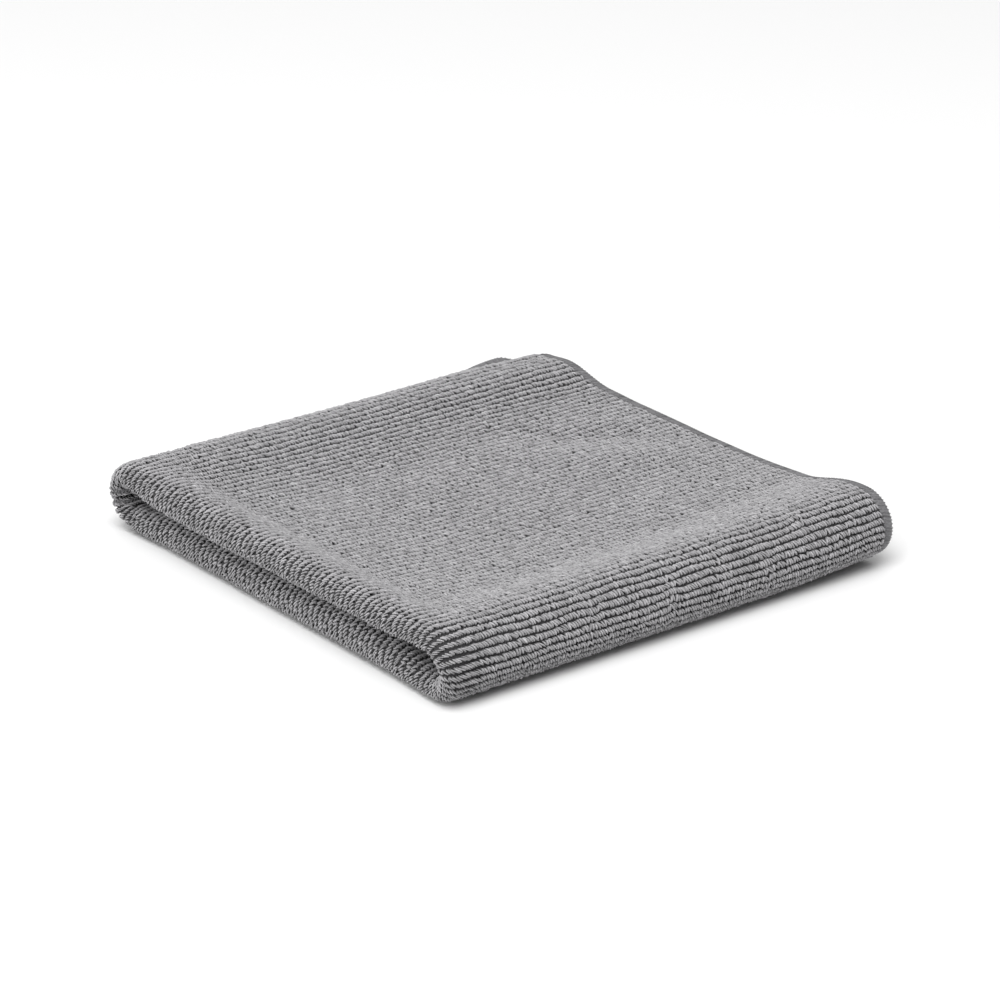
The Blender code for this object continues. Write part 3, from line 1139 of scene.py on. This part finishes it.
    def sizes(
        self,
        along: np.ndarray,
        out: np.ndarray,
        ratio: np.ndarray,
        frames: SurfaceFrames,
        top: float,
        rng: np.random.Generator,
    ) -> Arrays:
        """Sizes of each loop over the template's, at its place on the folded cloth.

        Args:
            along: distance of the loops over the section.
            out: their distance from the crease.
            ratio: their width over the usual one on the flat cloth.
            frames: their places with axes.
            top: height of their tops.
            rng: source of the random draws.

        Returns:
            Columns of width, strand width, height and slant.
        """
        draws = (len(along), 1)
        pinch = self.waver.pinch(along, out)
        at_crease = 1.0 - ease(np.abs(out), *self.crease_out)
        at_back = 1.0 - ease(along, *self.back_along)
        ratio = ratio * self.opened(frames.over_turn, frames.over, top)
        ratio = ratio * (1.0 + self.pinched_width * pinch - self.crease_narrowing * at_crease)
        ratio = ratio * (1.0 - self.back_narrowing * at_back)
        spacing = self.opened(frames.outwards_turn, frames.outwards, top)
        width = ratio[:, None] * (1.0 + rng.normal(0.0, self.uneven_width, draws))
        bundle = spacing[:, None] * (1.0 + rng.normal(0.0, self.uneven_bundle, draws))
        height = 1.0 + np.clip(rng.normal(0.0, self.uneven_height, draws), *self.height_limits)
        slant = rng.normal(0.0, self.uneven_slant, draws)
        slant = slant * (1.0 + self.pinched_slant * pinch[:, None])
        slant = slant + self.crease_slant * at_crease[:, None]
        return width, bundle, height, slant

    def build(self, zone: PileZone) -> bpy.types.Object:
        """Make one zone's loops as a joined mesh.

        Each loop's points are the template's (a, b, h), scaled to (a * width,
        b * bundle + a * slant, h * height) and placed in the loop's own axes.

        Args:
            zone: the stretch of cloth.

        Returns:
            The piece, with its values "root" (0 at the roots, 1 at the top), "aside" (1
            at the sides of a strand) and "tint".
        """
        rng = np.random.default_rng(zone.seed)
        shape = zone.shape
        along, out, ratio = self.centres(zone, rng)
        frames = self.fold.frames(along, out)
        top = shape.height
        width, bundle, height, slant = self.sizes(along, out, ratio, frames, top, rng)
        points, aside, *loop_faces = shape.template()
        a, b, h = points.T
        placed = above_floor(frames.point(a * width, b * bundle + a * slant, h * height))
        count, size = len(along), len(points)
        all_faces = [repeated(faces, count, size) for faces in loop_faces]
        piece = make_object(zone.name, placed.reshape(-1, 3), *all_faces)
        root = portion(h, shape.base, top - shape.base)
        add_value(piece, PointValue.ROOT, np.tile(root, count))
        add_value(piece, PointValue.ASIDE, np.tile(aside, count))
        add_value(piece, PointValue.TINT, np.repeat(rng.normal(0.0, 1.0, count), size))
        return piece


@dataclass
class Ground:
    """The thin knitted sheet that holds the loops.

    Attributes:
        fold: the folded cloth.
        face_height: height of its face over the middle surface.
        back_height: depth of its back under the middle surface.
        inset: distance of its edge from the cut edge, inside the hem.
        nose_reach: stretch with fine steps, over the cloth in half of the crease's nose.
        nose_steps: steps in that stretch.
        run_steps: steps from there to the edge.
    """

    fold: Fold
    face_height: float = 0.00045
    back_height: float = 0.00095
    inset: float = 0.0020
    nose_reach: float = 1.6
    nose_steps: int = 7
    run_steps: int = 30

    def build(self) -> bpy.types.Object:
        """Make the sheet as one closed surface, a column of points for each rib.

        Each column runs from hem to hem on the face and back again on the other side, so
        that a row's points are place + normal * height, with one height for each side.

        Returns:
            The piece.
        """
        cloth = self.fold.cloth
        nose = np.linspace(0.0, self.nose_reach * self.fold.nose_arc, self.nose_steps + 1)
        run = np.linspace(nose[-1], cloth.half - self.inset, self.run_steps + 1)[1:]
        half_row = np.concatenate([nose, run])
        row = np.concatenate([-half_row[:0:-1], half_row])
        column = np.linspace(self.inset, cloth.side - self.inset, cloth.rib_count + 1)
        along, out = np.meshgrid(column, row, indexing="ij")
        face = self.fold.lifted(along, out, np.full_like(along, self.face_height))
        back = self.fold.lifted(along, out, np.full_like(along, -self.back_height))
        ring = np.concatenate([face, back[:, ::-1]], axis=1)
        sides = ring.shape[1]
        quads = ring_quads(len(column), sides)
        first = np.arange(len(row) - 1)
        across = sides - 1 - first
        cap = np.stack([first, across, across - 1, first + 1], axis=-1)
        end = (len(column) - 1) * sides
        quads = np.concatenate([quads, cap, cap[:, ::-1] + end])
        return make_object("ground", ring.reshape(-1, 3), quads)


@dataclass
class Hem:
    """The overlocked edge: a soft band round the cloth with its stitches.

    Attributes:
        fold: the folded cloth.
        half_width: half of the band's width, and its middle's distance from the cut edge.
        half_height: half of its thickness.
        step: distance between its rings of points.
        profile_points: points in a ring.
        stitch_pitch: distance between stitches.
        uneven_pitch: usual distance of a stitch from its place.
        thread: radius of the thread.
        thread_sides: points in a ring of the thread, four as in each face of its mesh.
        stitch_stations: rings in a stitch.
        wrap_degrees: where a stitch starts and ends round the band.
        lean: how far a stitch leans along the band.
        seed: start of the random draws.
    """

    fold: Fold
    half_width: float = 0.00225
    half_height: float = 0.00090
    step: float = 0.0016
    profile_points: int = 10
    stitch_pitch: float = 0.00125
    uneven_pitch: float = 0.00010
    thread: float = 0.00030
    thread_sides: int = 4
    stitch_stations: int = 6
    wrap_degrees: Pair = (8.0, 262.0)
    lean: float = 0.0007
    seed: int = 11

    @property
    def line_radius(self) -> float:
        """Radius of the band's middle line at the cloth's corners."""
        return self.fold.cloth.corner_radius - self.half_width

    @property
    def straight(self) -> float:
        """Length of the cloth's edges between their round corners."""
        return self.fold.cloth.side - 2 * self.fold.cloth.corner_radius

    @property
    def perimeter(self) -> float:
        """Length of the band's middle line."""
        return 4 * self.straight + 2 * math.pi * self.line_radius

    def path(self, distance: np.ndarray, aside: np.ndarray) -> Arrays:
        """Cloth coordinates beside the band's middle line.

        The line is a square with round corners: each quarter has a straight stretch and
        a quarter circle, and is the quarter before it turned by 90 degrees.

        Args:
            distance: distance round the cloth.
            aside: distance from the line, positive towards the cloth's middle.

        Returns:
            Arrays of along and out.
        """
        cloth = self.fold.cloth
        radius = self.line_radius
        straight = self.straight
        turns, rest = np.divmod(distance, self.perimeter / 4)
        angle = np.clip((rest - straight) / radius, 0.0, math.pi / 2)
        travel = np.clip(rest, 0.0, straight) - straight / 2
        reach = cloth.half - cloth.corner_radius
        u = np.where(rest < straight, travel, reach + (radius - aside) * np.sin(angle))
        v = np.where(rest < straight, radius - aside, (radius - aside) * np.cos(angle)) + reach
        turn = turns * math.pi / 2
        out = v * np.cos(turn) - u * np.sin(turn)
        along = cloth.half + u * np.cos(turn) + v * np.sin(turn)
        return along, out

    def place(self, distance: np.ndarray, angle: np.ndarray, lift: float) -> np.ndarray:
        """Points on the band: aside = (w + lift) cos(angle), height = (h + lift) sin(angle).

        Args:
            distance: distance round the cloth.
            angle: angle round the band's oval section, in radians.
            lift: height over the band.

        Returns:
            The points.
        """
        aside = (self.half_width + lift) * np.cos(angle)
        height = (self.half_height + lift) * np.sin(angle)
        along, out = self.path(distance, aside)
        return self.fold.lifted(along, out, height)

    def build_band(self) -> bpy.types.Object:
        """Make the band: its oval profile carried round the cloth, back to its start.

        Returns:
            The piece.
        """
        count = int(self.perimeter / self.step)
        distance = np.arange(count) * self.perimeter / count
        angle = 2 * math.pi * np.arange(self.profile_points) / self.profile_points
        distance, angle = np.meshgrid(distance, angle, indexing="ij")
        points = self.place(distance, angle, 0.0)
        quads = ring_quads(count + 1, self.profile_points) % points[..., 0].size
        return make_object("hem_band", points.reshape(-1, 3), quads)

    def threads(self, line: np.ndarray, outward: np.ndarray) -> Arrays:
        """Thin tubes round many lines.

        Each ring is line + r (outward cos + side sin), with side = tangent x outward.

        Args:
            line: points, of shape (lines, stations, 3).
            outward: unit vectors away from the cloth, of the same shape.

        Returns:
            Points and faces.
        """
        sides = self.thread_sides
        aside = unit(np.cross(unit(np.gradient(line, axis=1)), outward))
        ring = (2 * math.pi * np.arange(sides) / sides)[None, None, :, None]
        offset = outward[:, :, None] * np.cos(ring) + aside[:, :, None] * np.sin(ring)
        points = line[:, :, None] + self.thread * offset
        lines, stations = line.shape[:2]
        faces = np.concatenate([ring_quads(stations, sides), end_caps(stations, sides)])
        return points.reshape(-1, 3), repeated(faces, lines, stations * sides)

    def build_stitches(self) -> bpy.types.Object:
        """Make the threads that wrap the edge, each with a slight lean.

        A stitch's points are (start + lean * (1 - cos angle), angle) on the band. On the
        floor a point and the one outside it can be the same, so a tiny length is added.

        Returns:
            The piece, with its value "tint".
        """
        count = int(self.perimeter / self.stitch_pitch)
        rng = np.random.default_rng(self.seed)
        start = np.arange(count) * self.perimeter / count
        start = start + rng.normal(0.0, self.uneven_pitch, count)
        angle = np.radians(np.linspace(*self.wrap_degrees, self.stitch_stations))
        distance = start[:, None] + self.lean * (1.0 - np.cos(angle)[None, :])
        distance = distance % self.perimeter
        angle = np.repeat(angle[None, :], count, axis=0)
        line = self.place(distance, angle, 0.0)
        outside = self.place(distance, angle, self.thread)
        tiny = 1e-9
        points, faces = self.threads(line, unit(outside - line + tiny))
        piece = make_object("hem_stitches", above_floor(points), faces)
        tint = np.repeat(rng.normal(0.0, 1.0, count), len(points) // count)
        add_value(piece, PointValue.TINT, tint)
        return piece

    def build(self) -> list[bpy.types.Object]:
        """Make the hem's pieces."""
        return [self.build_band(), self.build_stitches()]


def feed(
    tree: bpy.types.NodeTree,
    socket: bpy.types.NodeSocket,
    value: float | Numbers | bpy.types.NodeSocket,
) -> None:
    """Give an input socket a constant, or link another node's output to it.

    Args:
        tree: the node tree.
        socket: the input.
        value: the constant or the output.
    """
    if isinstance(value, bpy.types.NodeSocket):
        tree.links.new(value, socket)
    else:
        socket.default_value = value


def calculate(
    tree: bpy.types.NodeTree, kind: Maths, *values: float | bpy.types.NodeSocket
) -> bpy.types.NodeSocket:
    """Add a Math node to a node tree.

    Args:
        tree: the node tree.
        kind: what the node works out.
        values: its inputs in their order, constants or other nodes' outputs.

    Returns:
        The node's output.
    """
    node = tree.nodes.new("ShaderNodeMath")
    node.operation = kind.value
    for socket, value in zip(node.inputs, values):
        feed(tree, socket, value)
    return node.outputs[0]


def point_value(tree: bpy.types.NodeTree, name: PointValue) -> bpy.types.NodeSocket:
    """Add a node that reads a value of the mesh's points.

    Args:
        tree: the node tree.
        name: the value.

    Returns:
        The node's output.
    """
    node = tree.nodes.new("ShaderNodeAttribute")
    node.attribute_name = name.value
    return node.outputs["Fac"]


@dataclass(frozen=True)
class FibreGrain:
    """Fine uneven grain of microfibre, from noise.

    Attributes:
        scale: scale of the noise.
        contrast: strength of the grain in the colour.
    """

    scale: float = 1400.0
    contrast: float = 1.3

    @staticmethod
    def group() -> bpy.types.NodeTree:
        """Make the grain's node group once, and give it from then on.

        Value is 1 + contrast * (noise - middle of the noise), and Height is the noise.

        Returns:
            The group, with inputs Scale and Contrast and outputs Value and Height.
        """
        name = "fibre_grain"
        found = bpy.data.node_groups.get(name)
        if found:
            return found
        detail = 3.0
        detail_weight = 0.7
        middle = 0.5
        tree = bpy.data.node_groups.new(name, "ShaderNodeTree")
        for socket in ("Scale", "Contrast"):
            tree.interface.new_socket(socket, in_out="INPUT", socket_type="NodeSocketFloat")
        for socket in ("Value", "Height"):
            tree.interface.new_socket(socket, in_out="OUTPUT", socket_type="NodeSocketFloat")
        inlet = tree.nodes.new("NodeGroupInput")
        outlet = tree.nodes.new("NodeGroupOutput")
        place = tree.nodes.new("ShaderNodeTexCoord")
        noise = tree.nodes.new("ShaderNodeTexNoise")
        feed(tree, noise.inputs["Vector"], place.outputs["Object"])
        feed(tree, noise.inputs["Scale"], inlet.outputs["Scale"])
        feed(tree, noise.inputs["Detail"], detail)
        feed(tree, noise.inputs["Roughness"], detail_weight)
        centred = calculate(tree, Maths.SUBTRACT, noise.outputs["Fac"], middle)
        scaled = calculate(tree, Maths.MULTIPLY, centred, inlet.outputs["Contrast"])
        feed(tree, outlet.inputs["Value"], calculate(tree, Maths.ADD, scaled, 1.0))
        feed(tree, outlet.inputs["Height"], noise.outputs["Fac"])
        return tree

    def place(self, tree: bpy.types.NodeTree) -> bpy.types.Node:
        """Place the group in a material, with this grain's values.

        Args:
            tree: the material's node tree.

        Returns:
            The group's node.
        """
        node = tree.nodes.new("ShaderNodeGroup")
        node.node_tree = self.group()
        feed(tree, node.inputs["Scale"], self.scale)
        feed(tree, node.inputs["Contrast"], self.contrast)
        return node


@dataclass(frozen=True)
class ClothFinish:
    """A finish of the cloth: colours from root to top, grain and sheen.

    Attributes:
        name: the material's name.
        top: colour at the top of the pile.
        root: colour at the loops' roots between the ribs, a painted shade for the grooves.
        low: share of the height up to which the root's colour goes.
        middle: share of the height at which it has turned into the top's.
        tint: how much each loop's lightness differs.
        side_shade: how much the sides of each strand darken, as painted shade between loops.
        grain: the fibres' grain.
        bump: depth of the grain in metres.
        bump_strength: how much of that depth is seen.
        roughness: roughness of the fibres.
        specular: strength of their plain shine.
        sheen: weight of their sheen.
        sheen_roughness: roughness of that sheen.
    """

    name: str
    top: Numbers
    root: Numbers
    low: float = 0.05
    middle: float = 0.7
    tint: float = 0.11
    side_shade: float = 0.14
    grain: FibreGrain = FibreGrain()
    bump: float = 0.00012
    bump_strength: float = 0.6
    roughness: float = 0.85
    specular: float = 0.25
    sheen: float = 0.25
    sheen_roughness: float = 0.5

    def height_colour(self, tree: bpy.types.NodeTree) -> bpy.types.NodeSocket:
        """Add the colour that goes with the height: the root's, then up to the top's.

        Args:
            tree: the material's node tree.

        Returns:
            The colour's output.
        """
        # painted shade: the colour darkens from the top's towards the loops' roots
        ramp = tree.nodes.new("ShaderNodeValToRGB")
        low, high = ramp.color_ramp.elements
        low.position = self.low
        low.color = (*self.root, 1.0)
        high.position = self.middle
        high.color = (*self.top, 1.0)
        feed(tree, ramp.inputs["Fac"], point_value(tree, PointValue.ROOT))
        return ramp.outputs["Color"]

    def material(self) -> bpy.types.Material:
        """Make the finish's material.

        Returns:
            A material whose colour is the height's colour * (1 + tint * the loop's own
            tint) * (1 - side shade * aside) * grain. The height's colour darkens towards the
            roots and the side shade darkens the strands' sides: both are painted shade.
        """
        material = bpy.data.materials.new(self.name)
        material.use_nodes = True
        tree = material.node_tree
        grain = self.grain.place(tree)

        tint = point_value(tree, PointValue.TINT)
        lightness = calculate(tree, Maths.MULTIPLY_ADD, tint, self.tint, 1.0)
        aside = point_value(tree, PointValue.ASIDE)
        # painted shade on the sides of each strand, where the valleys between loops fall
        shade = calculate(tree, Maths.MULTIPLY_ADD, aside, -self.side_shade, 1.0)
        strand = calculate(tree, Maths.MULTIPLY, lightness, shade)
        factor = calculate(tree, Maths.MULTIPLY, strand, grain.outputs["Value"])
        colour = tree.nodes.new("ShaderNodeVectorMath")
        colour.operation = "SCALE"
        feed(tree, colour.inputs["Vector"], self.height_colour(tree))
        feed(tree, colour.inputs["Scale"], factor)

        bump = tree.nodes.new("ShaderNodeBump")
        feed(tree, bump.inputs["Strength"], self.bump_strength)
        feed(tree, bump.inputs["Distance"], self.bump)
        feed(tree, bump.inputs["Height"], grain.outputs["Height"])

        fibres = tree.nodes["Principled BSDF"].inputs
        feed(tree, fibres["Base Color"], colour.outputs["Vector"])
        feed(tree, fibres["Normal"], bump.outputs["Normal"])
        feed(tree, fibres["Roughness"], self.roughness)
        feed(tree, fibres["Specular IOR Level"], self.specular)
        feed(tree, fibres["Sheen Weight"], self.sheen)
        feed(tree, fibres["Sheen Roughness"], self.sheen_roughness)
        return material


@dataclass(frozen=True)
class FloorFinish:
    """Plain white floor of the studio.

    Attributes:
        name: the material's name.
        colour: its colour.
        roughness: its roughness.
    """

    name: str = "floor_white"
    colour: Numbers = (0.79, 0.79, 0.79)
    roughness: float = 0.9

    def material(self) -> bpy.types.Material:
        """Make the floor's material.

        Returns:
            The material.
        """
        material = bpy.data.materials.new(self.name)
        material.use_nodes = True
        shader = material.node_tree.nodes["Principled BSDF"]
        shader.inputs["Base Color"].default_value = (*self.colour, 1.0)
        shader.inputs["Roughness"].default_value = self.roughness
        return material


@dataclass(frozen=True)
class SoftLight:
    """A square area light.

    Attributes:
        name: its name.
        place: where it stands.
        aim: the point it faces.
        size: its side.
        power: its power in watts.
    """

    name: str
    place: Numbers
    aim: Numbers
    size: float
    power: float

    def build(self) -> bpy.types.Object:
        """Make the light.

        Returns:
            The light.
        """
        data = bpy.data.lights.new(self.name, "AREA")
        data.shape = "SQUARE"
        data.size = self.size
        data.energy = self.power
        light = bpy.data.objects.new(self.name, data)
        light.location = self.place
        way = np.array(self.aim) - np.array(self.place)
        flat = math.hypot(way[0], way[1])
        light.rotation_euler = (math.atan2(flat, -way[2]), 0.0, math.atan2(-way[0], way[1]))
        bpy.context.scene.collection.objects.link(light)
        return light


@dataclass
class Studio:
    """Floor, soft light and camera.

    Attributes:
        floor_half: half of the floor's side.
        floor_finish: the floor's finish.
        air_colour: colour of the even light from all round.
        air_strength: strength of that light.
        camera_place: where the camera stands.
        camera_degrees: its turns about X, Y and Z.
        camera_lens: its focal length in millimetres.
        sensor_width: width of its sensor in millimetres.
        lights: the lamps.
    """

    floor_half: float = 4.0
    floor_finish: FloorFinish = FloorFinish()
    air_colour: Numbers = (1.0, 1.0, 1.0)
    air_strength: float = 0.21
    camera_place: Numbers = (-0.83225, -1.07808, 0.58729)
    camera_degrees: Numbers = (67.300, 0.0, -37.885)
    camera_lens: float = 149.65
    sensor_width: float = 36.0
    lights: tuple[SoftLight, ...] = (
        SoftLight("light_key", (-1.20, -1.30, 2.80), (0.0, 0.0, 0.0), 2.0, 108.0),
        SoftLight("light_top", (0.35, 0.50, 2.40), (0.35, 0.50, 0.0), 4.8, 49.0),
        SoftLight("light_left", (-3.60, -0.60, 1.10), (0.0, 0.0, 0.0), 2.8, 85.0),
    )

    def build_floor(self) -> bpy.types.Object:
        """Make the floor, a flat square at the height on which the cloth lies.

        Returns:
            The floor.
        """
        h = self.floor_half
        points = np.array([(-h, -h, 0.0), (h, -h, 0.0), (h, h, 0.0), (-h, h, 0.0)])
        floor = make_object("floor", points, np.array([[0, 1, 2, 3]]))
        floor.data.materials.append(self.floor_finish.material())
        return floor

    def build_air(self) -> None:
        """Give the studio its even white surroundings."""
        world = bpy.data.worlds.new("studio_air")
        world.use_nodes = True
        background = world.node_tree.nodes["Background"]
        background.inputs["Color"].default_value = (*self.air_colour, 1.0)
        background.inputs["Strength"].default_value = self.air_strength
        bpy.context.scene.world = world

    def build_camera(self) -> bpy.types.Object:
        """Make the camera that looks down on the pack's near corner.

        Returns:
            The camera, which is now the scene's.
        """
        data = bpy.data.cameras.new("camera")
        data.lens = self.camera_lens
        data.sensor_width = self.sensor_width
        camera = bpy.data.objects.new("camera", data)
        camera.location = self.camera_place
        camera.rotation_euler = tuple(math.radians(turn) for turn in self.camera_degrees)
        bpy.context.scene.collection.objects.link(camera)
        bpy.context.scene.camera = camera
        return camera

    def build(self) -> None:
        """Make the whole studio, seen without a film curve."""
        bpy.context.scene.view_settings.view_transform = "Standard"
        self.build_floor()
        self.build_air()
        self.build_camera()
        for light in self.lights:
            light.build()


@dataclass
class DressedCloth:
    """The folded cloth with all its pieces and finishes.

    Attributes:
        fold: the folded cloth's surface.
        pile_finish: finish of the loops, with painted shade at their roots and strands' sides.
        ground_finish: finish of the sheet between them, dark because little light gets in.
        hem_finish: finish of the hem's band and thread.
    """

    # its root colour is painted shade in the grooves between the ribs and loops
    fold: Fold = Fold()
    pile_finish: ClothFinish = ClothFinish(
        name="pile_grey", top=(0.312, 0.307, 0.316), root=(0.05, 0.049, 0.051)
    )
    ground_finish: ClothFinish = ClothFinish(
        name="ground_grey", top=(0.032, 0.031, 0.033), root=(0.032, 0.031, 0.033), sheen=0.1
    )
    hem_finish: ClothFinish = ClothFinish(
        name="hem_grey",
        top=(0.13, 0.128, 0.133),
        root=(0.13, 0.128, 0.133),
        tint=0.22,
        roughness=0.6,
    )

    def carry(self, piece: bpy.types.Object, finish: bpy.types.Material) -> None:
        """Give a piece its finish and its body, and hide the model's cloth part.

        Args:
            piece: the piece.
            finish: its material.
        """
        piece.data.materials.append(finish)
        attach(piece, "root")
        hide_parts(NODE)

    def build(self) -> list[bpy.types.Object]:
        """Returns:
            The pieces. The first is the ground, which stands for the whole cloth.
        """
        ground = Ground(self.fold).build()
        self.carry(ground, self.ground_finish.material())
        pile = Pile(self.fold)
        loops = [pile.build(zone) for zone in pile.zones()]
        pile_material = self.pile_finish.material()
        for piece in loops:
            self.carry(piece, pile_material)
        hem = Hem(self.fold).build()
        hem_material = self.hem_finish.material()
        for piece in hem:
            self.carry(piece, hem_material)
        return [ground, *loops, *hem]


def report(piece: bpy.types.Object) -> None:
    """Log a piece's name and its triangles: a face with n corners makes n - 2."""
    mesh = piece.data
    LOG.info("%s: %d triangles", piece.name, len(mesh.loops) - 2 * len(mesh.polygons))


def main() -> None:
    """Build the studio and the cloth, and report each piece."""
    logging.basicConfig(level=logging.INFO, format="%(name)s %(message)s")
    Studio().build()
    for piece in DressedCloth().build():
        report(piece)


if __name__ == "__main__":
    main()
